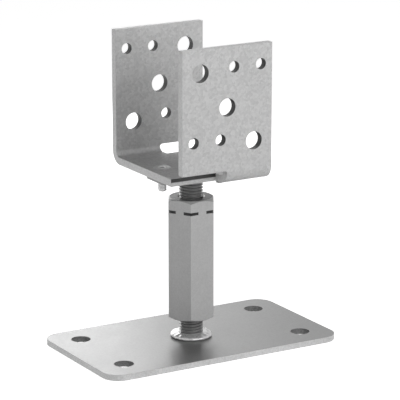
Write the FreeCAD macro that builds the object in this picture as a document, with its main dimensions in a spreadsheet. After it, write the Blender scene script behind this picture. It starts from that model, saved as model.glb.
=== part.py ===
import FreeCAD, Part
import math
import os

import Sketcher
from FreeCAD import Placement, Rotation, Vector

# Height-adjustable timber post base, hot-dip galvanised.
# A base plate is bolted to the ground and carries a welded threaded rod. A long
# hexagonal sleeve screws onto it, and takes a second rod from above: that one is
# welded to a small head plate, and the folded U bracket is screwed down on it.
# The post stands in the U, and bolts and nails go through its two side plates.
#
# Millimetres, +Z up. The origin is the centre of the base plate's underside, X
# runs along the plate's long side, and the two side plates face -Y and +Y.

SIZES = [
    # base plate
    ("base_length", 176.0, "base plate, along X"),
    ("base_width", 100.0, "base plate, along Y"),
    ("base_thickness", 4.0, "base plate"),
    ("base_corner_radius", 12.0, "base plate, in plan"),
    ("anchor_hole_diameter", 13.0, "hole for an M12 anchor"),
    ("anchor_spacing_x", 136.0, "anchor holes, centre to centre along X"),
    ("anchor_spacing_y", 60.0, "anchor holes, centre to centre along Y"),
    # the two threaded rods
    ("rod_diameter", 16.0, "M16, over the crests"),
    ("rod_end_chamfer", 1.0, "lead-in on a rod's free end"),
    ("thread_engagement", 32.0, "length of each rod inside the sleeve"),
    ("thread_clearance", 0.08, "rod to sleeve, on the radius"),
    # weld beads
    ("lower_bead_width", 6.7, "bead on the base plate, out from the rod"),
    ("lower_bead_height", 3.5, "bead on the base plate, up the rod"),
    ("upper_bead_width", 4.0, "bead under the head plate, out from the rod"),
    ("upper_bead_height", 3.5, "bead under the head plate, down the rod"),
    ("bead_bulge", 0.9, "how far a bead stands out of a straight fillet"),
    ("bead_crown_radius", 4.0, "rounding of a bead's crown"),
    # hexagonal sleeve
    ("sleeve_across_flats", 30.0, "spanner size"),
    ("sleeve_length", 83.0, "end to end"),
    ("sleeve_standoff", 14.0, "bare rod between base plate and sleeve"),
    ("sleeve_face_diameter", 28.5, "round end face left by the corner chamfers"),
    ("sleeve_chamfer_angle", 30.0, "corner chamfer, degrees from the end face"),
    ("bore_chamfer", 1.0, "lead-in at each mouth of the bore"),
    ("mark_groove_drop", 8.3, "sleeve's top to the middle of the mark groove"),
    ("mark_groove_width", 2.0, "turned groove that marks the left-hand end"),
    ("mark_groove_floor", 0.3, "groove's floor, outside the flats"),
    # head plate
    ("head_gap", 13.5, "bare rod between sleeve and head plate"),
    ("head_plate_length", 56.0, "along X"),
    ("head_plate_width", 24.0, "along Y"),
    ("head_plate_thickness", 4.0, "head plate"),
    ("head_plate_corner_radius", 3.0, "in plan"),
    # countersunk screws through the bracket's floor
    ("screw_spacing", 44.0, "centre to centre along X"),
    ("screw_diameter", 6.0, "M6"),
    ("screw_length", 16.0, "over the head"),
    ("screw_head_diameter", 12.0, "countersunk head, 90 degrees"),
    ("screw_tip_chamfer", 0.8, "lead-in on the screw's tip"),
    ("screw_hole_clearance", 0.3, "screw to bracket, on the radius"),
    # U bracket
    ("sheet_thickness", 5.0, "folded sheet"),
    ("bracket_width", 67.0, "side plates, along X"),
    ("post_width", 83.0, "clear width between the side plates"),
    ("side_height", 86.0, "side plates above the floor's top"),
    ("bend_radius", 4.0, "inside the bends"),
    ("notch_setback", 9.5, "floor's free end to the side plate's inner face"),
    ("notch_rise", 4.5, "side plate's free edge above the floor's top"),
    ("notch_relief_radius", 2.0, "round at the inner end of the notch"),
    ("bolt_hole_diameter", 12.0, "hole for an M12 through-bolt"),
    ("middle_bolt_height", 46.5, "middle bolt hole above the floor's top"),
    ("bolt_hole_pitch", 24.0, "bolt holes, one above the other"),
    ("bolt_hole_shift", 20.0, "upper and lower bolt holes off the centre line"),
    ("nail_hole_diameter", 7.5, "hole for a nail or wood screw"),
    ("nail_hole_spacing", 20.0, "centre to centre within a pair"),
    ("nail_pair_shift", 15.0, "pair's middle off the centre line"),
    ("lower_nail_height", 25.5, "lower pair above the floor's top"),
    ("upper_nail_height", 72.5, "upper pair above the floor's top"),
]

# Levels above the origin, each worked out from the pieces below it.
ROD_RADIUS = "Sizes.rod_diameter / 2"
BASE_TOP = "Sizes.base_thickness"
SLEEVE_BOTTOM = BASE_TOP + " + Sizes.sleeve_standoff"
SLEEVE_TOP = SLEEVE_BOTTOM + " + Sizes.sleeve_length"
HEAD_BOTTOM = SLEEVE_TOP + " + Sizes.head_gap"
BRACKET_BOTTOM = HEAD_BOTTOM + " + Sizes.head_plate_thickness"
FLOOR_TOP = BRACKET_BOTTOM + " + Sizes.sheet_thickness"

START = 1
END = 2
ORIGIN = (-1, 1)
H_AXIS = -1
V_AXIS = -2

doc = FreeCAD.newDocument("TimberPostBase")
sheet = doc.addObject("Spreadsheet::Sheet", "Sizes")
for row, (alias, value, note) in enumerate(SIZES, start=1):
    sheet.set("A%d" % row, note)
    sheet.set("B%d" % row, str(value))
    sheet.setAlias("B%d" % row, alias)
doc.recompute()


# ---------------------------------------------------------------- helpers

def size(expression):
    """Present value of an expression, to draw a sketch near its solution."""
    return float(sheet.evalExpression(expression))


def new_body(node, level="0", shift="0"):
    """A body named after its node, drawn about its own axis and set at its level."""
    body = doc.addObject("PartDesign::Body", node)
    body.Label = node
    body.setExpression("Placement.Base.x", shift)
    body.setExpression("Placement.Base.z", level)
    return body


def origin_feature(body, role):
    for feature in body.Origin.OriginFeatures:
        if feature.Role == role:
            return feature
    raise ValueError("no origin feature " + role)


def new_sketch(body, name, plane, offset=None):
    """A sketch on one of the body's origin planes, moved along the plane's normal."""
    sketch = body.newObject("Sketcher::SketchObject", name)
    sketch.AttachmentSupport = [(origin_feature(body, plane), "")]
    sketch.MapMode = "FlatFace"
    if offset:
        sketch.setExpression("AttachmentOffset.Base.z", offset)
    return sketch


def new_feature(body, kind, name, **settings):
    feature = body.newObject("PartDesign::" + kind, name)
    for key, value in settings.items():
        setattr(feature, key, value)
    return feature


def bind(sketch, constraint, expression):
    """Adds a dimension to a sketch and ties it to the sheet."""
    index = sketch.addConstraint(constraint)
    sketch.setExpression("Constraints[%d]" % index, expression)


def place_point(sketch, geometry, vertex, x, y):
    """Holds a point at (x, y), two expressions, either side of the sketch's axes."""
    for kind, where, axis in (("DistanceX", x, V_AXIS), ("DistanceY", y, H_AXIS)):
        value = size(where)
        point = (geometry, vertex)
        if where == "0":
            sketch.addConstraint(Sketcher.Constraint("PointOnObject", *point, axis))
        elif value < 0:
            bind(sketch, Sketcher.Constraint(kind, *point, *ORIGIN, -value), "-(%s)" % where)
        else:
            bind(sketch, Sketcher.Constraint(kind, *ORIGIN, *point, value), where)


def draw_outline(sketch, corners):
    """A closed outline of straight lines through corners given as expressions."""
    points = [Vector(size(x), size(y), 0) for x, y in corners]
    first = sketch.GeometryCount
    count = len(points)
    for i in range(count):
        sketch.addGeometry(Part.LineSegment(points[i], points[(i + 1) % count]), False)
    for i in range(count):
        line = first + i
        following = first + (i + 1) % count
        sketch.addConstraint(Sketcher.Constraint("Coincident", line, END, following, START))
        place_point(sketch, line, START, *corners[i])
    return first


def draw_rectangle(sketch, left, right, bottom, top):
    return draw_outline(sketch, [(left, bottom), (right, bottom), (right, top), (left, top)])


def draw_circle(sketch, x, y, diameter):
    circle = Part.Circle(Vector(size(x), size(y), 0), Vector(0, 0, 1), size(diameter) / 2)
    index = sketch.addGeometry(circle, False)
    bind(sketch, Sketcher.Constraint("Diameter", index, size(diameter)), diameter)
    place_point(sketch, index, 3, x, y)
    return index


def edges_where(feature, test):
    """Names of the edges whose two ends both pass the test."""
    names = []
    for i, edge in enumerate(feature.Shape.Edges, start=1):
        if len(edge.Vertexes) == 2 and all(test(v.Point) for v in edge.Vertexes):
            names.append("Edge%d" % i)
    return names


def circles_at(feature, radius, z):
    """Names of the full circles of one radius at one height."""
    names = []
    for i, edge in enumerate(feature.Shape.Edges, start=1):
        round_edge = isinstance(edge.Curve, Part.Circle) and len(edge.Vertexes) == 1
        if round_edge and near(edge.Curve.Radius, radius) and near(edge.Curve.Center.z, z):
            names.append("Edge%d" % i)
    return names


def near(a, b):
    return abs(a - b) < 1e-4


# ------------------------------------------------------------- base plate

base = new_body("base_plate")
plan = new_sketch(base, "BasePlan", "XY_Plane")
draw_rectangle(
    plan,
    "-Sizes.base_length / 2",
    "Sizes.base_length / 2",
    "-Sizes.base_width / 2",
    "Sizes.base_width / 2",
)
for sign_x in ("-", ""):
    for sign_y in ("-", ""):
        draw_circle(
            plan,
            sign_x + "Sizes.anchor_spacing_x / 2",
            sign_y + "Sizes.anchor_spacing_y / 2",
            "Sizes.anchor_hole_diameter",
        )
pad = new_feature(base, "Pad", "BaseSheet", Profile=plan)
pad.setExpression("Length", "Sizes.base_thickness")
doc.recompute()

corner_x = size("Sizes.base_length / 2")
upright_corners = edges_where(pad, lambda p: near(abs(p.x), corner_x))
upright_corners = [
    name for name in upright_corners
    if near(pad.Shape.getElement(name).Length, size("Sizes.base_thickness"))
]
corners = new_feature(base, "Fillet", "BaseCorners", Base=(pad, upright_corners))
corners.setExpression("Radius", "Sizes.base_corner_radius")
base.Tip = corners


# ------------------------------------------------------ rods and their welds

def make_rod(node, level, length, free_end):
    """A round bar over the thread's crests, chamfered at the end inside the sleeve."""
    body = new_body(node, level)
    section = new_sketch(body, node + "_section", "XY_Plane")
    draw_circle(section, "0", "0", "Sizes.rod_diameter")
    bar = new_feature(body, "Pad", node + "_bar", Profile=section)
    bar.setExpression("Length", length)
    doc.recompute()
    end_z = size(length) if free_end == "top" else 0.0
    rim = circles_at(bar, size(ROD_RADIUS), end_z)
    lead_in = new_feature(body, "Chamfer", node + "_lead_in", Base=(bar, rim))
    lead_in.setExpression("Size", "Sizes.rod_end_chamfer")
    body.Tip = lead_in
    return body


def make_bead(node, level, width, height, up):
    """A convex fillet weld round the rod, on the face at its level."""
    body = new_body(node, level)
    side = "" if up else "-"
    profile = new_sketch(body, node + "_profile", "XZ_Plane")
    toe_x = ROD_RADIUS + " + " + width
    crown_x = ROD_RADIUS + " + " + width + " / 2 + Sizes.bead_bulge"
    crown_z = side + "(" + height + " / 2 + Sizes.bead_bulge)"
    draw_outline(profile, [(ROD_RADIUS, "0"), (toe_x, "0"), (crown_x, crown_z), (ROD_RADIUS, side + height)])
    ring = new_feature(body, "Revolution", node + "_ring", Profile=profile, Angle=360.0)
    ring.ReferenceAxis = (profile, ["V_Axis"])
    doc.recompute()
    crown = circles_at(ring, size(crown_x), size(crown_z))
    rounding = new_feature(body, "Fillet", node + "_crown", Base=(ring, crown))
    rounding.setExpression("Radius", "Sizes.bead_crown_radius")
    body.Tip = rounding
    return body


lower_rod_length = "Sizes.sleeve_standoff + Sizes.thread_engagement"
upper_rod_length = "Sizes.thread_engagement + Sizes.head_gap"
upper_rod_bottom = SLEEVE_TOP + " - Sizes.thread_engagement"
make_rod("lower_rod", BASE_TOP, lower_rod_length, "top")
make_rod("upper_rod", upper_rod_bottom, upper_rod_length, "bottom")
make_bead("lower_weld", BASE_TOP, "Sizes.lower_bead_width", "Sizes.lower_bead_height", True)
make_bead("upper_weld", HEAD_BOTTOM, "Sizes.upper_bead_width", "Sizes.upper_bead_height", False)


# -------------------------------------------------------- hexagonal sleeve

def draw_hexagon(sketch, across_flats):
    """A regular hexagon about the origin with two corners on the horizontal axis."""
    across_corners = across_flats + " / cos(30 deg)"
    radius = size(across_corners) / 2
    corners = [
        Vector(radius * math.cos(math.radians(a)), radius * math.sin(math.radians(a)), 0)
        for a in range(0, 360, 60)
    ]
    for i in range(6):
        sketch.addGeometry(Part.LineSegment(corners[i], corners[(i + 1) % 6]), False)
    ring = sketch.addGeometry(Part.Circle(Vector(0, 0, 0), Vector(0, 0, 1), radius), True)
    sketch.addConstraint(Sketcher.Constraint("Coincident", ring, 3, *ORIGIN))
    bind(sketch, Sketcher.Constraint("Diameter", ring, 2 * radius), across_corners)
    for i in range(6):
        sketch.addConstraint(Sketcher.Constraint("Coincident", i, END, (i + 1) % 6, START))
        sketch.addConstraint(Sketcher.Constraint("PointOnObject", i, START, ring))
    for i in range(1, 6):
        sketch.addConstraint(Sketcher.Constraint("Equal", 0, i))
    sketch.addConstraint(Sketcher.Constraint("PointOnObject", 0, START, H_AXIS))


sleeve = new_body("hex_sleeve", SLEEVE_BOTTOM)
section = new_sketch(sleeve, "HexSection", "XY_Plane")
draw_hexagon(section, "Sizes.sleeve_across_flats")
bar = new_feature(sleeve, "Pad", "HexBar", Profile=section)
bar.setExpression("Length", "Sizes.sleeve_length")

# The corners are turned off at both ends, and a shallow groove runs round them
# near the top to mark the left-hand thread.
BORE_RADIUS = "(Sizes.rod_diameter / 2 + Sizes.thread_clearance)"
face_radius = "Sizes.sleeve_face_diameter / 2"
corner_radius = "Sizes.sleeve_across_flats / 2 / cos(30 deg)"
chamfer_reach = "(%s + 1 - %s)" % (corner_radius, face_radius)
chamfer_drop = chamfer_reach + " * tan(Sizes.sleeve_chamfer_angle * 1 deg)"
turned = new_sketch(sleeve, "TurnedCorners", "XZ_Plane")
outside = corner_radius + " + 1"
draw_outline(turned, [(face_radius, "0"), (outside, "0"), (outside, chamfer_drop)])
top = "Sizes.sleeve_length"
draw_outline(turned, [(face_radius, top), (outside, top), (outside, top + " - " + chamfer_drop)])
groove_middle = "Sizes.sleeve_length - Sizes.mark_groove_drop"
draw_rectangle(
    turned,
    "Sizes.sleeve_across_flats / 2 + Sizes.mark_groove_floor",
    outside,
    groove_middle + " - Sizes.mark_groove_width / 2",
    groove_middle + " + Sizes.mark_groove_width / 2",
)
turning = new_feature(sleeve, "Groove", "Turning", Profile=turned, Angle=360.0)
turning.ReferenceAxis = (turned, ["V_Axis"])

bore_circle = new_sketch(sleeve, "BoreCircle", "XY_Plane")
draw_circle(bore_circle, "0", "0", "2 * " + BORE_RADIUS)
bore = new_feature(sleeve, "Pocket", "Bore", Profile=bore_circle, Reversed=True)
bore.setExpression("Length", "Sizes.sleeve_length")
doc.recompute()

mouths = circles_at(bore, size(BORE_RADIUS), 0.0)
mouths += circles_at(bore, size(BORE_RADIUS), size("Sizes.sleeve_length"))
countersinks = new_feature(sleeve, "Chamfer", "BoreMouths", Base=(bore, mouths))
countersinks.setExpression("Size", "Sizes.bore_chamfer")
sleeve.Tip = countersinks


# -------------------------------------------------------------- head plate

head = new_body("head_plate", HEAD_BOTTOM)
plan = new_sketch(head, "HeadPlan", "XY_Plane")
draw_rectangle(
    plan,
    "-Sizes.head_plate_length / 2",
    "Sizes.head_plate_length / 2",
    "-Sizes.head_plate_width / 2",
    "Sizes.head_plate_width / 2",
)
for side in ("-", ""):
    draw_circle(plan, side + "Sizes.screw_spacing / 2", "0", "Sizes.screw_diameter")
pad = new_feature(head, "Pad", "HeadSheet", Profile=plan)
pad.setExpression("Length", "Sizes.head_plate_thickness")
doc.recompute()

corner_x = size("Sizes.head_plate_length / 2")
corner_y = size("Sizes.head_plate_width / 2")
upright_corners = [
    name for name in edges_where(pad, lambda p: near(abs(p.x), corner_x) and near(abs(p.y), corner_y))
    if near(pad.Shape.getElement(name).Length, size("Sizes.head_plate_thickness"))
]
corners = new_feature(head, "Fillet", "HeadCorners", Base=(pad, upright_corners))
corners.setExpression("Radius", "Sizes.head_plate_corner_radius")
head.Tip = corners


# ------------------------------------------------------ countersunk screws

SCREW_RADIUS = "Sizes.screw_diameter / 2"
SCREW_HEAD_RADIUS = "Sizes.screw_head_diameter / 2"


def make_screw(node, side):
    """A flat 90-degree head flush with the bracket's floor, on a plain shank."""
    body = new_body(node, FLOOR_TOP, side + "Sizes.screw_spacing / 2")
    profile = new_sketch(body, node + "_profile", "XZ_Plane")
    draw_outline(profile, [
        ("0", "0"),
        (SCREW_HEAD_RADIUS, "0"),
        (SCREW_RADIUS, "-(%s - %s)" % (SCREW_HEAD_RADIUS, SCREW_RADIUS)),
        (SCREW_RADIUS, "-(Sizes.screw_length - Sizes.screw_tip_chamfer)"),
        (SCREW_RADIUS + " - Sizes.screw_tip_chamfer", "-Sizes.screw_length"),
        ("0", "-Sizes.screw_length"),
    ])
    turned = new_feature(body, "Revolution", node + "_turned", Profile=profile, Angle=360.0)
    turned.ReferenceAxis = (profile, ["V_Axis"])
    body.Tip = turned
    return body


make_screw("floor_screw_left", "-")
make_screw("floor_screw_right", "")


# --------------------------------------------------------------- U bracket

# The body's zero is the floor's underside. The front side plate faces -Y, and the
# rear one is the same turned half a turn about Z, with its notch and its holes.
INNER_Y = "Sizes.post_width / 2"
OUTER_Y = "(Sizes.post_width / 2 + Sizes.sheet_thickness)"
SHEET = "Sizes.sheet_thickness"
PLATE_TOP = "(Sizes.sheet_thickness + Sizes.side_height)"

bracket = new_body("u_bracket", BRACKET_BOTTOM)
channel = new_sketch(bracket, "ChannelProfile", "YZ_Plane")
draw_outline(channel, [
    ("-" + OUTER_Y, "0"),
    (OUTER_Y, "0"),
    (OUTER_Y, PLATE_TOP),
    (INNER_Y, PLATE_TOP),
    (INNER_Y, SHEET),
    ("-" + INNER_Y, SHEET),
    ("-" + INNER_Y, PLATE_TOP),
    ("-" + OUTER_Y, PLATE_TOP),
])
folded = new_feature(bracket, "Pad", "FoldedSheet", Profile=channel, Midplane=True)
folded.setExpression("Length", "Sizes.bracket_width")
doc.recompute()

inner_y, outer_y, sheet_z = size(INNER_Y), size(OUTER_Y), size(SHEET)
inner_bends = edges_where(folded, lambda p: near(abs(p.y), inner_y) and near(p.z, sheet_z))
inner_bends = [n for n in inner_bends if near(folded.Shape.getElement(n).Length, size("Sizes.bracket_width"))]
inside = new_feature(bracket, "Fillet", "InsideBends", Base=(folded, inner_bends))
inside.setExpression("Radius", "Sizes.bend_radius")
doc.recompute()

outer_bends = edges_where(inside, lambda p: near(abs(p.y), outer_y) and near(p.z, 0.0))
outer_bends = [n for n in outer_bends if near(inside.Shape.getElement(n).Length, size("Sizes.bracket_width"))]
outside_bends = new_feature(bracket, "Fillet", "OutsideBends", Base=(inside, outer_bends))
outside_bends.setExpression("Radius", "Sizes.bend_radius + Sizes.sheet_thickness")
doc.recompute()

# One half of each bend is cut away: the floor stops short of the side plate, and
# the plate's lower edge hangs free above the floor.
notch_outline = new_sketch(bracket, "NotchOutline", "XZ_Plane", INNER_Y + " - Sizes.notch_setback")
notch_top = SHEET + " + Sizes.notch_rise"
notch_left = "-(Sizes.bracket_width / 2 + 1)"
relief = "Sizes.notch_relief_radius"
left_x, top_z, r = size(notch_left), size(notch_top), size(relief)
notch_outline.addGeometry(Part.LineSegment(Vector(left_x, -1, 0), Vector(0, -1, 0)), False)
notch_outline.addGeometry(Part.LineSegment(Vector(0, -1, 0), Vector(0, top_z - r, 0)), False)
arc = Part.ArcOfCircle(Part.Circle(Vector(-r, top_z - r, 0), Vector(0, 0, 1), r), 0, math.pi / 2)
notch_outline.addGeometry(arc, False)
notch_outline.addGeometry(Part.LineSegment(Vector(-r, top_z, 0), Vector(left_x, top_z, 0)), False)
notch_outline.addGeometry(Part.LineSegment(Vector(left_x, top_z, 0), Vector(left_x, -1, 0)), False)
for constraint in (
    Sketcher.Constraint("Coincident", 0, END, 1, START),
    Sketcher.Constraint("Tangent", 1, END, 2, START),
    Sketcher.Constraint("Tangent", 2, END, 3, START),
    Sketcher.Constraint("Coincident", 3, END, 4, START),
    Sketcher.Constraint("Coincident", 4, END, 0, START),
    Sketcher.Constraint("Vertical", 1),
    Sketcher.Constraint("Horizontal", 3),
    Sketcher.Constraint("Vertical", 4),
):
    notch_outline.addConstraint(constraint)
place_point(notch_outline, 0, START, notch_left, "-1")
place_point(notch_outline, 0, END, "0", "-1")
bind(notch_outline, Sketcher.Constraint("Radius", 2, r), relief)
bind(notch_outline, Sketcher.Constraint("DistanceY", *ORIGIN, 4, START, top_z), notch_top)
notch = new_feature(bracket, "Pocket", "Notch", Profile=notch_outline, Reversed=True)
notch.setExpression("Length", "Sizes.notch_setback + Sizes.sheet_thickness + 1")

# Three through-bolt holes lean across the plate, with a pair of nail holes in
# each of the two corners that they leave free.
plate_holes = new_sketch(bracket, "PlateHoles", "XZ_Plane")
for step in (-1, 0, 1):
    draw_circle(
        plate_holes,
        "-Sizes.bolt_hole_shift * %d" % step if step else "0",
        "%s + Sizes.middle_bolt_height + Sizes.bolt_hole_pitch * %d" % (SHEET, step),
        "Sizes.bolt_hole_diameter",
    )
for side, height in (("", "Sizes.upper_nail_height"), ("-", "Sizes.lower_nail_height")):
    for half in ("-", "+"):
        draw_circle(
            plate_holes,
            "%s(Sizes.nail_pair_shift %s Sizes.nail_hole_spacing / 2)" % (side, half),
            SHEET + " + " + height,
            "Sizes.nail_hole_diameter",
        )
drilled = new_feature(bracket, "Pocket", "DrilledPlate", Profile=plate_holes, Reversed=True)
drilled.setExpression("Length", OUTER_Y + " + 1")

screw_seat = new_sketch(bracket, "ScrewSeat", "XZ_Plane")
seat_x = "Sizes.screw_spacing / 2"
hole_radius = "(%s + Sizes.screw_hole_clearance)" % SCREW_RADIUS
seat_depth = "(%s - %s)" % (SCREW_HEAD_RADIUS, hole_radius)
draw_outline(screw_seat, [
    (seat_x, "-1"),
    (seat_x + " + " + hole_radius, "-1"),
    (seat_x + " + " + hole_radius, SHEET + " - " + seat_depth),
    (seat_x + " + " + SCREW_HEAD_RADIUS, SHEET),
    (seat_x, SHEET),
])
middle_line = screw_seat.addGeometry(
    Part.LineSegment(Vector(size(seat_x), -1, 0), Vector(size(seat_x), size(SHEET), 0)), True)
screw_seat.addConstraint(Sketcher.Constraint("Coincident", middle_line, START, 0, START))
screw_seat.addConstraint(Sketcher.Constraint("Coincident", middle_line, END, 4, START))
seat = new_feature(bracket, "Groove", "CountersunkHole", Profile=screw_seat, Angle=360.0)
seat.ReferenceAxis = (screw_seat, ["Axis0"])
doc.recompute()

both_sides = new_feature(bracket, "PolarPattern", "BothSides", Originals=[notch, drilled, seat])
both_sides.Axis = (origin_feature(bracket, "Z_Axis"), [""])
both_sides.Angle = 360.0
both_sides.Occurrences = 2
bracket.Tip = both_sides
doc.recompute()


# ---------------------------------------------------------- check and write

for item in doc.Objects:
    if "Invalid" in item.State or "Error" in item.State:
        raise RuntimeError("%s did not build: %s" % (item.Label, item.State))

os.makedirs("parts", exist_ok=True)
for body in doc.Objects:
    if body.TypeId != "PartDesign::Body":
        continue
    shape = body.Shape
    if shape.isNull() or not shape.isValid() or len(shape.Solids) != 1:
        raise RuntimeError(body.Label + " is not one valid solid")
    shape.exportStep(os.path.join("parts", body.Label + ".step"))
    box = shape.BoundBox
    print("%-18s volume %10.1f  x %7.2f %7.2f  y %7.2f %7.2f  z %7.2f %7.2f" % (
        body.Label, shape.Volume, box.XMin, box.XMax, box.YMin, box.YMax, box.ZMin, box.ZMax))
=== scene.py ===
import math

import bmesh
import bpy
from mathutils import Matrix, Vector, noise


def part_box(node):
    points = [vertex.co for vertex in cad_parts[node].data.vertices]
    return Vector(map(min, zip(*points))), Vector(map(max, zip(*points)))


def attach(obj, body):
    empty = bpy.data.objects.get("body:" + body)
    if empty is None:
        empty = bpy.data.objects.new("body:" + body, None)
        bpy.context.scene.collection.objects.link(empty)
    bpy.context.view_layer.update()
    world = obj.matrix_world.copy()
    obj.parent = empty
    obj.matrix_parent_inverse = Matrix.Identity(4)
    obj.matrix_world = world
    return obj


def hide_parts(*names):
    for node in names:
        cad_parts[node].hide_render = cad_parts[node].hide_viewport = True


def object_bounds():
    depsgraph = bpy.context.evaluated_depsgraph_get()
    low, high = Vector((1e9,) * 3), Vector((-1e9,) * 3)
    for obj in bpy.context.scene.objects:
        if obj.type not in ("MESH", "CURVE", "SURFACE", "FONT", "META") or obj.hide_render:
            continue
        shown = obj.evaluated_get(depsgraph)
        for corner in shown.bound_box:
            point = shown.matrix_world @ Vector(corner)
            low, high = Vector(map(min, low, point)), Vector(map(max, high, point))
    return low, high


# Height-adjustable timber post base, galvanised. The sheet parts and the sleeve
# are the CAD nodes with a finish; the rods, welds and screws are built here in
# more detail, inside the boxes of their nodes. Metres, +Z up.

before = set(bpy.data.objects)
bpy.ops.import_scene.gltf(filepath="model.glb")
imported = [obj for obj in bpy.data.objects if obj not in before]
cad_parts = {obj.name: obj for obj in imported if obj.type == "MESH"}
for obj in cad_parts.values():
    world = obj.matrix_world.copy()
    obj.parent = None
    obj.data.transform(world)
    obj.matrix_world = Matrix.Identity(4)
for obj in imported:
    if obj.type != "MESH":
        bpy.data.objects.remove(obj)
CAD_LOW, CAD_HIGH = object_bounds()
CENTRE = (CAD_LOW + CAD_HIGH) / 2

MM = 0.001
RIGHT_HAND, LEFT_HAND = 1, -1


def direction(azimuth, elevation):
    """Unit vector, angles in degrees; azimuth 0 points to -Y and +90 to +X."""
    a, e = math.radians(azimuth), math.radians(elevation)
    return Vector((math.sin(a) * math.cos(e), -math.cos(a) * math.cos(e), math.sin(e)))


# ------------------------------------------------------------- materials

# Noise scales and their detail: soft clouds, and a fine grain.
CLOUD_SCALE, CLOUD_DETAIL, CLOUD_ROUGHNESS = 55.0, 5.0, 0.62
GRAIN_SCALE, GRAIN_DETAIL = 900.0, 3.0
# The span of a texture's value that stands for its full variation.
TEXTURE_LOW, TEXTURE_HIGH = 0.25, 0.75

# Worn edges: the rounding that marks them, and how it fades into the face.
EDGE_RADIUS = 0.45 * MM
EDGE_STOPS = ((0.93, 1.0), (0.995, 0.0))
WORN_GAIN = 1.25
# How softly the edge of a painted shadow fades, above and below its height.
SHADOW_BAND_FADE = 0.2 * MM

ROUGHNESS_SPECKLE = 0.015
ROUGHNESS_CLOUD = 0.03
BUMP_STRENGTH = 0.35
BUMP_HEIGHT = 0.05 * MM


def nodes_of(owner):
    """The cleared node tree of a material or a world."""
    owner.use_nodes = True
    tree = owner.node_tree
    tree.nodes.clear()
    return tree


def link(tree, source, output, target, socket):
    tree.links.new(source.outputs[output], target.inputs[socket])


def add_node(tree, kind, **settings):
    node = tree.nodes.new("ShaderNode" + kind)
    for key, value in settings.items():
        setattr(node, key, value)
    return node


def add_texture(tree, kind, place, **inputs):
    """A procedural texture in the object's own space, with its inputs set by name."""
    texture = add_node(tree, "Tex" + kind)
    for key, value in inputs.items():
        texture.inputs[key].default_value = value
    link(tree, place, "Object", texture, "Vector")
    return texture


def add_ramp(tree, source, output, stops):
    """A grey ramp with two stops (position, value)."""
    ramp = add_node(tree, "ValToRGB")
    for element, (position, value) in zip(ramp.color_ramp.elements, stops):
        element.position = position
        element.color = (value, value, value, 1)
    link(tree, source, output, ramp, "Fac")
    return ramp


def add_range(tree, source, output, low, high):
    """Map the span from low to high onto 0 to 1."""
    node = add_node(tree, "MapRange")
    node.inputs["From Min"].default_value = low
    node.inputs["From Max"].default_value = high
    link(tree, source, output, node, "Value")
    return node


def add_variation(tree, source, output, amount):
    """A texture's value about its middle, times amount, and free to go past it."""
    node = add_range(tree, source, output, TEXTURE_LOW, TEXTURE_HIGH)
    node.inputs["To Min"].default_value = -amount
    node.inputs["To Max"].default_value = amount
    node.clamp = False
    return node


def add_math(tree, operation, *items):
    """A Math node; each item is a number or a node whose first output is taken."""
    node = add_node(tree, "Math", operation=operation)
    for index, item in enumerate(items):
        if isinstance(item, (int, float)):
            node.inputs[index].default_value = item
        else:
            tree.links.new(item.outputs[0], node.inputs[index])
    return node


def add_mix(tree, factor, output, first, second):
    """A float Mix from the first node's first output to the number second."""
    node = add_node(tree, "Mix", data_type="FLOAT")
    link(tree, factor, output, node, "Factor")
    tree.links.new(first.outputs[0], node.inputs["A"])
    node.inputs["B"].default_value = second
    return node


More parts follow.
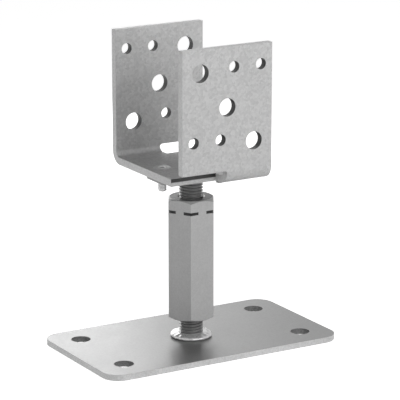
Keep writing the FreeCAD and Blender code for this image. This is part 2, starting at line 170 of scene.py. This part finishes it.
def zinc(name, grey, metallic, roughness, speckle, cloud, grain=0.05,
         speckle_size=0.9, edge_grey=None, shadow_band=None):
    """Hot-dip zinc: fine crystalline speckle over soft clouds, with worn edges.

    edge_grey is the grey of the worn edges, by default a lighter one.
    The last argument, a pair (height, grey), paints a shadow: above this height in
    the object's own space the surface is painted that dark grey.
    """
    if edge_grey is None:
        edge_grey = min(1.0, grey * WORN_GAIN)
    material = bpy.data.materials.new(name)
    tree = nodes_of(material)
    output = add_node(tree, "OutputMaterial")
    shader = add_node(tree, "BsdfPrincipled")
    shader.inputs["Metallic"].default_value = metallic
    link(tree, shader, "BSDF", output, "Surface")

    place = add_node(tree, "TexCoord")
    crystals = add_texture(tree, "Voronoi", place, Scale=1 / (speckle_size * MM))
    tone = add_node(tree, "SeparateColor")
    link(tree, crystals, "Color", tone, "Color")
    clouds = add_texture(tree, "Noise", place, Scale=CLOUD_SCALE, Detail=CLOUD_DETAIL,
                         Roughness=CLOUD_ROUGHNESS)
    fine = add_texture(tree, "Noise", place, Scale=GRAIN_SCALE, Detail=GRAIN_DETAIL)

    variation = add_math(
        tree, "ADD",
        add_variation(tree, tone, "Red", speckle),
        add_variation(tree, clouds, "Fac", cloud))
    variation = add_math(
        tree, "ADD", variation, add_variation(tree, fine, "Fac", grain))
    level = add_math(tree, "MULTIPLY", add_math(tree, "ADD", variation, 1.0), grey)

    bevel = add_node(tree, "Bevel", samples=6)
    bevel.inputs["Radius"].default_value = EDGE_RADIUS
    geometry = add_node(tree, "NewGeometry")
    facing = add_node(tree, "VectorMath", operation="DOT_PRODUCT")
    link(tree, bevel, "Normal", facing, 0)
    link(tree, geometry, "Normal", facing, 1)
    edge = add_ramp(tree, facing, "Value", EDGE_STOPS)
    shade = add_mix(tree, edge, "Color", level, edge_grey)
    # A painted shadow: above the given height the colour turns to the given dark grey.
    if shadow_band:
        height, dark = shadow_band
        split = add_node(tree, "SeparateXYZ")
        link(tree, place, "Object", split, "Vector")
        above = add_range(tree, split, "Z", height - SHADOW_BAND_FADE, height + SHADOW_BAND_FADE)
        shade = add_mix(tree, above, "Result", shade, dark)
    colour = add_node(tree, "CombineColor")
    for channel in ("Red", "Green", "Blue"):
        link(tree, shade, "Result", colour, channel)
    link(tree, colour, "Color", shader, "Base Color")

    rough = add_math(
        tree, "ADD",
        add_variation(tree, tone, "Green", ROUGHNESS_SPECKLE),
        add_variation(tree, clouds, "Fac", ROUGHNESS_CLOUD))
    rough = add_math(tree, "ADD", rough, roughness)
    link(tree, rough, "Value", shader, "Roughness")

    bump = add_node(tree, "Bump")
    bump.inputs["Strength"].default_value = BUMP_STRENGTH
    bump.inputs["Distance"].default_value = BUMP_HEIGHT
    link(tree, variation, "Value", bump, "Height")
    link(tree, bevel, "Normal", bump, "Normal")
    link(tree, bump, "Normal", shader, "Normal")
    return material


# name, grey, metallic and roughness; then how much the surface varies
ZINC_PLATE = zinc("zinc_base_plate", 0.27, 0.55, 0.36, speckle=0.015, cloud=0.035, grain=0.02)
ZINC_BRACKET = zinc("zinc_bracket", 0.69, 0.14, 0.46, speckle=0.05, cloud=0.035, grain=0.03,
                    speckle_size=1.6, edge_grey=0.74)
ZINC_SLEEVE = zinc("zinc_sleeve", 0.57, 0.14, 0.4, speckle=0.02, cloud=0.04, grain=0.025)
ZINC_THREAD = zinc("zinc_thread", 0.225, 0.5, 0.38, speckle=0.04, cloud=0.12, edge_grey=0.24)
ZINC_WELD = zinc("zinc_weld", 0.74, 0.35, 0.3, speckle=0.02, cloud=0.06, edge_grey=0.64)
ZINC_SCREW = zinc("zinc_screw", 0.72, 0.6, 0.32, speckle=0.03, cloud=0.04)
# The walls of the bracket's holes, painted near black as the shade inside them.
ZINC_HOLE_SHADE = zinc("zinc_hole_wall_painted_shade", 0.08, 0.3, 0.55, speckle=0.1, cloud=0.2, edge_grey=0.14)
# The walls of the base plate's anchor holes, painted darker as the shade inside them.
ZINC_ANCHOR_HOLE_SHADE = zinc("zinc_anchor_hole_wall_painted_shade", 0.2, 0.3, 0.5, speckle=0.1, cloud=0.3,
                        edge_grey=0.1)
ZINC_CUT = zinc("zinc_cut_edge", 0.68, 0.3, 0.5, speckle=0.04, cloud=0.1, edge_grey=0.58)
# The sleeve's top face, painted dark for the shade it lies in under the bracket's floor.
ZINC_SHADED_SLEEVE_TOP = zinc("zinc_sleeve_top_painted_shade", 0.14, 0.3, 0.45, speckle=0.05, cloud=0.15, edge_grey=0.3)
ZINC_GROOVE = zinc("zinc_groove", 0.02, 0.2, 0.6, speckle=0.1, cloud=0.2, edge_grey=0.08)


PLATE_BOX, BRACKET_BOX, SLEEVE_BOX = (
    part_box(node) for node in ("base_plate", "u_bracket", "hex_sleeve"))

BRACKET_TO_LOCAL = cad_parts["u_bracket"].matrix_world.inverted()
FLOOR_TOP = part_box("floor_screw_left")[1].z
# The free ends of the bracket's floor: how far they stand inside the sides' outer
# faces, where that is along Y, how far down their height the painted shadow of the side
# plate above reaches, and the height in the bracket's own space from which it is painted.
FREE_END_INSET = 14.5 * MM
FREE_END = BRACKET_BOX[1].y - FREE_END_INSET
SHADOW_BAND_DEPTH = 2.4 * MM
SHADOW_BAND_HEIGHT = (BRACKET_TO_LOCAL @ Vector((0, 0, FLOOR_TOP - SHADOW_BAND_DEPTH))).z
# The floor's free ends: a painted shadow darkens their upper part, where the side plate above
# shades them.
ZINC_SHADOWED_FREE_END = zinc("zinc_free_end_painted_shadow", 0.56, 0.26, 0.5, speckle=0.05, cloud=0.1,
                    edge_grey=0.6, shadow_band=(SHADOW_BAND_HEIGHT, 0.03))

# How much of a face's unit normal lies along an axis: nearly all of it, or half.
SQUARE_ON = 0.9
LEANING = 0.5
# Walls nearer to the base plate's outline than this are its cut edge, the rest are holes.
PLATE_MARGIN = 6 * MM
# The bracket's side holes all lie higher than this over its underside.
HOLES_FROM = 20 * MM
# How near a face lies to the bracket's outline, or to a free end, to be a part of it.
RIM = 0.2 * MM
FREE_END_MARGIN = 0.5 * MM
# The sleeve's groove is cut across its corners, between these depths from the top.
GROOVE_TOP, GROOVE_BOTTOM = 7 * MM, 9.6 * MM
GROOVE_RELIEF = 0.15 * MM


def dress(obj, *materials):
    obj.data.materials.clear()
    for material in materials:
        obj.data.materials.append(material)


def dress_faces(node, materials, choose):
    """Give each face of a CAD node the material whose index choose(centre, normal) returns."""
    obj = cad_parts[node]
    dress(obj, *materials)
    to_world = obj.matrix_world
    turn = to_world.to_3x3()
    for face in obj.data.polygons:
        face.material_index = choose(to_world @ face.center, (turn @ face.normal).normalized())


# Each of these returns a place in the list of materials that its node is dressed with.

def plate_face(point, normal):
    """0 the finish, 1 a hole's wall painted in shade, 2 the cut edge."""
    low, high = PLATE_BOX
    if abs(normal.z) > LEANING:
        return 0
    hole = all(low[i] + PLATE_MARGIN < point[i] < high[i] - PLATE_MARGIN for i in (0, 1))
    return 1 if hole else 2


def bracket_face(point, normal):
    """0 the finish, 1 a hole's wall painted in shade, 2 the cut edge, 3 the floor's free end with
    a painted shadow on its upper part.
    """
    low, high = BRACKET_BOX
    # The walls of the holes, which take the painted shade.
    if point.z > low.z + HOLES_FROM and abs(normal.y) < LEANING:
        rim = abs(point.x) > high.x - RIM or point.z > high.z - RIM
        return 2 if rim else 1
    across = abs(normal.y) > SQUARE_ON
    # The floor's free ends, which take the painted shadow.
    if across and abs(point.y) < FREE_END + FREE_END_MARGIN and point.z < FLOOR_TOP:
        return 3
    return 2 if abs(normal.x) > SQUARE_ON else 0


def sleeve_face(point, normal):
    """0 the finish, 1 the groove, 2 the top face, painted dark as the shade under the bracket."""
    low, high = SLEEVE_BOX
    if normal.z > SQUARE_ON:
        return 2
    flat = min(high.x - low.x, high.y - low.y) / 2
    depth = high.z - point.z
    outward = point.x * normal.x + point.y * normal.y
    cut = abs(normal.z) > LEANING or outward > flat + GROOVE_RELIEF
    return 1 if GROOVE_TOP < depth < GROOVE_BOTTOM and cut else 0


dress(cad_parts["head_plate"], ZINC_PLATE)
dress_faces("base_plate", (ZINC_PLATE, ZINC_ANCHOR_HOLE_SHADE, ZINC_CUT), plate_face)
dress_faces("u_bracket", (ZINC_BRACKET, ZINC_HOLE_SHADE, ZINC_CUT, ZINC_SHADOWED_FREE_END), bracket_face)
dress_faces("hex_sleeve", (ZINC_SLEEVE, ZINC_GROOVE, ZINC_SHADED_SLEEVE_TOP), sleeve_face)


# ---------------------------------------------------------------- pieces

# Points nearer than MERGE are joined, and faces no longer than SMALLEST_FACE left out.
MERGE = 1e-7
SMALLEST_FACE = 1e-6

# Shares of a thread's pitch: how long its crest and its root run flat, and where
# the points of its outline stand.
CREST_FLAT, ROOT_FLAT = 0.16, 0.22
THREAD_PHASES = (0.0, 0.08, 0.2, 0.3, 0.39, 0.5, 0.61, 0.7, 0.8, 0.92)

ROD_PITCH = 2.0 * MM
ROD_THREAD_DEPTH = 1.15 * MM
ROD_STEPS = 72
ROD_END_TAPER = 1.0 * MM

SCREW_SHANK = 3.0 * MM
SCREW_LIP = 0.5 * MM
SCREW_PITCH = 1.0 * MM
SCREW_THREAD_DEPTH = 0.55 * MM
SCREW_STEPS = 36
SCREW_END_TAPER = 0.8 * MM
SOCKET = 4.0 * MM
SOCKET_MOUTH = 4.4 * MM
SOCKET_DEPTH = 2.2 * MM
SOCKET_TIP = 2.9 * MM

BEAD_AROUND = 240
BEAD_ACROSS = 18
# Ripples round the bead, how unevenly they follow each other, and their size at the
# toe and on the flank.
BEAD_RIPPLES = 17
RIPPLE_DRIFT, DRIFT_WAVES = 1.3, 3
BEAD_RIPPLE = 0.25 * MM
BEAD_SAG = 0.15 * MM
# Slow changes round the bead: their noise scale, and what they do to its toe and crown.
WANDER_SCALE = 1.6
BEAD_WANDER = 0.9 * MM
CROWN_MEAN, CROWN_WANDER = 0.93, 0.07
# Powers that fill out the quarter circle of the section, outward and upward.
FILL_OUT, FILL_UP = 0.95, 0.85
# The bead reaches this far into the rod.
BEAD_ROOT = 0.8 * MM
# How far the bead's foot turns in below its widest point, and the height of each step.
UNDERCUT = ((1.6 * MM, 0.0), (0.9 * MM, 0.15 * MM), (0.4 * MM, 0.45 * MM), (0.1 * MM, 0.8 * MM))
UNDERCUT_TOP = UNDERCUT[-1][1] + 0.3 * MM


def finish_piece(bm, name, material, body, node, smooth_angle):
    """Close the mesh, and put it on its body in place of its node."""
    bmesh.ops.remove_doubles(bm, verts=bm.verts, dist=MERGE)
    bmesh.ops.dissolve_degenerate(bm, edges=bm.edges, dist=MERGE)
    bmesh.ops.recalc_face_normals(bm, faces=bm.faces)
    mesh = bpy.data.meshes.new(name)
    bm.to_mesh(mesh)
    bm.free()
    mesh.polygons.foreach_set("use_smooth", [True] * len(mesh.polygons))
    mesh.set_sharp_from_angle(angle=math.radians(smooth_angle))
    piece = bpy.data.objects.new(name, mesh)
    bpy.context.scene.collection.objects.link(piece)
    dress(piece, material)
    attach(piece, body)
    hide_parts(node)


def ring_point(bm, axis, radius, angle, z):
    return bm.verts.new((
        axis[0] + radius * math.cos(angle), axis[1] + radius * math.sin(angle), z))


def thread_depth_at(phase):
    """Depth below the crest as a share of the thread's: flat crest, straight flanks, flat root."""
    phase %= 1.0
    if phase < CREST_FLAT / 2 or phase > 1 - CREST_FLAT / 2:
        return 0.0
    if abs(phase - 0.5) < ROOT_FLAT / 2:
        return 1.0
    distance = min(phase, 1 - phase) - CREST_FLAT / 2
    return distance / (0.5 - ROOT_FLAT / 2 - CREST_FLAT / 2)


def helix(bm, axis, low_z, length, crest, depth, pitch, hand, limit, steps):
    """The surface of a helical thread about a vertical axis, closed by a face at both ends.

    limit(z) is the largest radius at the height z above low_z, for tapered ends.
    """
    turns = int(length / pitch) + 3
    columns = []
    for step in range(steps):
        angle = 2 * math.pi * step / steps
        lead = hand * pitch * step / steps
        column = []
        for turn in range(-1, turns):
            for phase in THREAD_PHASES:
                z = min(max((turn + phase) * pitch + lead, 0.0), length)
                radius = crest - depth * thread_depth_at((z - lead) / pitch)
                radius = min(radius, limit(z))
                column.append(ring_point(bm, axis, radius, angle, low_z + z))
        columns.append(column)
    rows = len(columns[0])
    for step in range(steps):
        left = columns[step]
        right = columns[(step + 1) % steps]
        # Where the last column meets the first, the thread has moved on by one pitch.
        wrap = hand * len(THREAD_PHASES) if step == steps - 1 else 0
        for row in range(rows - 1):
            other = row + wrap
            if 0 <= other and other + 1 < rows:
                corners = (left[row], right[other], right[other + 1], left[row + 1])
                longest = max((a.co - b.co).length for a in corners for b in corners)
                if longest > SMALLEST_FACE:
                    bm.faces.new(corners)
    for end in (0, -1):
        bm.faces.new([column[end] for column in columns])


def threaded_rod(name, node, body, hand, free_end):
    """A rod with a real helical thread, tapered off at its free end."""
    low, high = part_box(node)
    crest = (high.x - low.x) / 2
    length = high.z - low.z

    def limit(z):
        return crest - ROD_END_TAPER + (z if free_end == "bottom" else length - z)

    bm = bmesh.new()
    helix(bm, (0, 0), low.z, length, crest, ROD_THREAD_DEPTH, ROD_PITCH, hand, limit, ROD_STEPS)
    finish_piece(bm, name, ZINC_THREAD, body, node, smooth_angle=28)


def lathe(bm, axis, rings, steps=48):
    """Join rings (height, radius or radius at an angle) into one closed surface."""
    loops = []
    for z, radius in rings:
        loop = []
        for step in range(steps):
            angle = 2 * math.pi * step / steps
            r = radius(angle) if callable(radius) else radius
            loop.append(ring_point(bm, axis, r, angle, z))
        loops.append(loop)
    for a, b in zip(loops, loops[1:]):
        for step in range(steps):
            after = (step + 1) % steps
            bm.faces.new((a[step], a[after], b[after], b[step]))
    bm.faces.new(loops[0])
    bm.faces.new(loops[-1])


def countersunk_screw(name, node):
    """A countersunk screw with a hexagon socket, its thread right-handed."""
    low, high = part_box(node)
    axis = ((low.x + high.x) / 2, (low.y + high.y) / 2)
    head = (high.x - low.x) / 2
    top = high.z
    seat = top - (head - SCREW_SHANK) - SCREW_LIP

    def hexagon(across):
        sector = math.pi / 3
        return lambda angle: across / 2 / math.cos((angle + sector / 2) % sector - sector / 2)

    def limit(z):
        return SCREW_SHANK - SCREW_END_TAPER + z

    bm = bmesh.new()
    lathe(bm, axis, (
        (seat - 0.4 * MM, SCREW_SHANK * 0.8),
        (seat, SCREW_SHANK * 0.99),
        (top - SCREW_LIP, head - 0.06 * MM),
        (top - 0.3 * MM, head),
        (top - 0.08 * MM, head - 0.05 * MM),
        (top, head - 0.3 * MM),
        (top - 0.02 * MM, hexagon(SOCKET_MOUTH)),
        (top - 0.3 * MM, hexagon(SOCKET)),
        (top - SOCKET_DEPTH, hexagon(SOCKET)),
        (top - SOCKET_TIP, 0.3 * MM),
    ))
    helix(bm, axis, low.z, seat - low.z, SCREW_SHANK, SCREW_THREAD_DEPTH, SCREW_PITCH,
          RIGHT_HAND, limit, SCREW_STEPS)
    finish_piece(bm, name, ZINC_SCREW, "head", node, smooth_angle=35)


def bead_section(toe, inner, crown, ripple):
    """The bead's outline (radius, height) at one angle, from its foot to its crown."""
    points = [(toe - inward, z) for inward, z in UNDERCUT]
    for j in range(BEAD_ACROSS + 1):
        t = j / BEAD_ACROSS * math.pi / 2
        radius = inner + (toe - inner) * math.cos(t) ** FILL_OUT
        z = UNDERCUT_TOP + (crown - UNDERCUT_TOP) * math.sin(t) ** FILL_UP
        sag = BEAD_SAG * ripple * math.sin(2 * t)
        points.append((radius - sag, max(0.0, z - sag)))
    return points


def weld_bead(name, node, body, up, seed):
    """A ring of overlapping weld ripples inside the bead's own space."""
    low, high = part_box(node)
    rod_low, rod_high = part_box("lower_rod" if up else "upper_rod")
    inner = (rod_high.x - rod_low.x) / 2 - BEAD_ROOT
    height = high.z - low.z
    bm = bmesh.new()
    rings = []
    for i in range(BEAD_AROUND):
        angle = 2 * math.pi * i / BEAD_AROUND
        drift = RIPPLE_DRIFT * math.sin(DRIFT_WAVES * angle + seed)
        ripple = 0.5 + 0.5 * math.sin(BEAD_RIPPLES * angle + drift)
        wander = noise.noise(Vector((
            math.cos(angle) * WANDER_SCALE, math.sin(angle) * WANDER_SCALE, seed)))
        toe = high.x - BEAD_WANDER * (0.5 - 0.5 * wander) - BEAD_RIPPLE * ripple
        crown = height * (CROWN_MEAN + CROWN_WANDER * wander)
        rings.append([
            ring_point(bm, (0, 0), radius, angle, low.z + z if up else high.z - z)
            for radius, z in bead_section(toe, inner, crown, ripple)])
    for a, b in zip(rings, rings[1:] + rings[:1]):
        for j in range(len(a) - 1):
            bm.faces.new((a[j], b[j], b[j + 1], a[j + 1]))
    bm.faces.new([ring[0] for ring in rings])
    bm.faces.new([ring[-1] for ring in rings])
    finish_piece(bm, name, ZINC_WELD, body, node, smooth_angle=60)


threaded_rod("lower_thread", "lower_rod", "base", RIGHT_HAND, "top")
threaded_rod("upper_thread", "upper_rod", "head", LEFT_HAND, "bottom")
countersunk_screw("left_screw", "floor_screw_left")
countersunk_screw("right_screw", "floor_screw_right")
weld_bead("lower_bead", "lower_weld", "base", True, 2.0)
weld_bead("upper_bead", "upper_weld", "head", False, 7.0)


# ----------------------------------------------------- floor, light, camera

FLOOR_SIZE = 12
FLOOR_GAP = 0.02 * MM
FLOOR_GREY = 0.9
FLOOR_GLOW = 0.95
WORLD_LEVEL = 0.02

BASE_LEFT = Vector((-40, 0, 4)) * MM
# name, azimuth, elevation, distance, side, power and the point it looks at
LAMPS = (
    ("front", 2, 18, 1.4, 0.7, 4.0, CENTRE),
    ("front_high", 10, 36, 1.4, 0.7, 2.4, CENTRE),
    ("front_right", 32, 15, 1.4, 0.7, 2.1, CENTRE),
    ("left", -100, 12, 0.9, 0.5, 1.08, CENTRE),
    ("back", 170, 12, 0.7, 0.4, 1.0, BASE_LEFT),
    ("back_right", 160, 16, 0.7, 0.4, 0.28, BASE_LEFT),
)

# The photograph's view.
CAMERA_AZIMUTH = -30.5
CAMERA_ELEVATION = 14.66
CAMERA_DISTANCE = 1.605
CAMERA_LENS = 214.1
CAMERA_SENSOR = 36.0
CAMERA_REACH = 50
CAMERA_AIM = CENTRE + Vector((17.4, 17.7, -12.8)) * MM


def shows_backdrop(tree):
    """1 for the rays that show the backdrop as it is: camera, glossy and transmission."""
    path = add_node(tree, "LightPath")
    mirrored = add_node(tree, "Math", operation="MAXIMUM")
    shown = add_node(tree, "Math", operation="MAXIMUM")
    link(tree, path, "Is Glossy Ray", mirrored, 0)
    link(tree, path, "Is Transmission Ray", mirrored, 1)
    link(tree, path, "Is Camera Ray", shown, 0)
    link(tree, mirrored, "Value", shown, 1)
    return shown


def stage_plane():
    """A pale floor that takes shadows, and glows only for the rays that show it."""
    bpy.ops.mesh.primitive_plane_add(size=FLOOR_SIZE, location=(0, 0, CAD_LOW.z - FLOOR_GAP))
    floor = bpy.context.active_object
    floor.name = "floor"
    material = bpy.data.materials.new("studio_floor")
    tree = nodes_of(material)
    output = add_node(tree, "OutputMaterial")
    diffuse = add_node(tree, "BsdfDiffuse")
    diffuse.inputs["Color"].default_value = (FLOOR_GREY, FLOOR_GREY, FLOOR_GREY, 1)
    glow = add_node(tree, "Emission")
    glow.inputs["Strength"].default_value = FLOOR_GLOW
    both = add_node(tree, "AddShader")
    seen = add_node(tree, "MixShader")
    link(tree, diffuse, "BSDF", both, 0)
    link(tree, glow, "Emission", both, 1)
    link(tree, shows_backdrop(tree), "Value", seen, "Fac")
    link(tree, diffuse, "BSDF", seen, 1)
    link(tree, both, "Shader", seen, 2)
    link(tree, seen, "Shader", output, "Surface")
    dress(floor, material)


def studio_world():
    """White to the camera and in reflections, and a plain soft level for everything else."""
    world = bpy.data.worlds.new("studio")
    bpy.context.scene.world = world
    tree = nodes_of(world)
    output = add_node(tree, "OutputWorld")
    background = add_node(tree, "Background")
    background.inputs["Color"].default_value = (1, 1, 1, 1)
    strength = add_node(tree, "MapRange")
    strength.inputs["To Min"].default_value = WORLD_LEVEL
    strength.inputs["To Max"].default_value = 1.0
    link(tree, shows_backdrop(tree), "Value", strength, "Value")
    link(tree, strength, "Result", background, "Strength")
    link(tree, background, "Background", output, "Surface")


def softbox(name, azimuth, elevation, distance, side, power, aim):
    """A square lamp at a distance from the object's centre, unseen by the camera."""
    lamp = bpy.data.lights.new(name, "AREA")
    lamp.size = side
    lamp.energy = power
    place = bpy.data.objects.new(name, lamp)
    place.location = CENTRE + direction(azimuth, elevation) * distance
    place.visible_camera = False
    sight = aim - place.location
    place.rotation_euler = sight.to_track_quat("-Z", "Y").to_euler()
    bpy.context.scene.collection.objects.link(place)


def add_camera():
    camera = bpy.data.cameras.new("camera")
    camera.lens = CAMERA_LENS
    camera.sensor_width = CAMERA_SENSOR
    camera.clip_end = CAMERA_REACH
    away = direction(CAMERA_AZIMUTH, CAMERA_ELEVATION)
    place = bpy.data.objects.new("camera", camera)
    place.location = CAMERA_AIM + away * CAMERA_DISTANCE
    place.rotation_euler = (-away).to_track_quat("-Z", "Y").to_euler()
    bpy.context.scene.collection.objects.link(place)
    bpy.context.scene.camera = place


stage_plane()
studio_world()
for row in LAMPS:
    softbox(*row)
add_camera()
bpy.context.scene.view_settings.view_transform = "Standard"
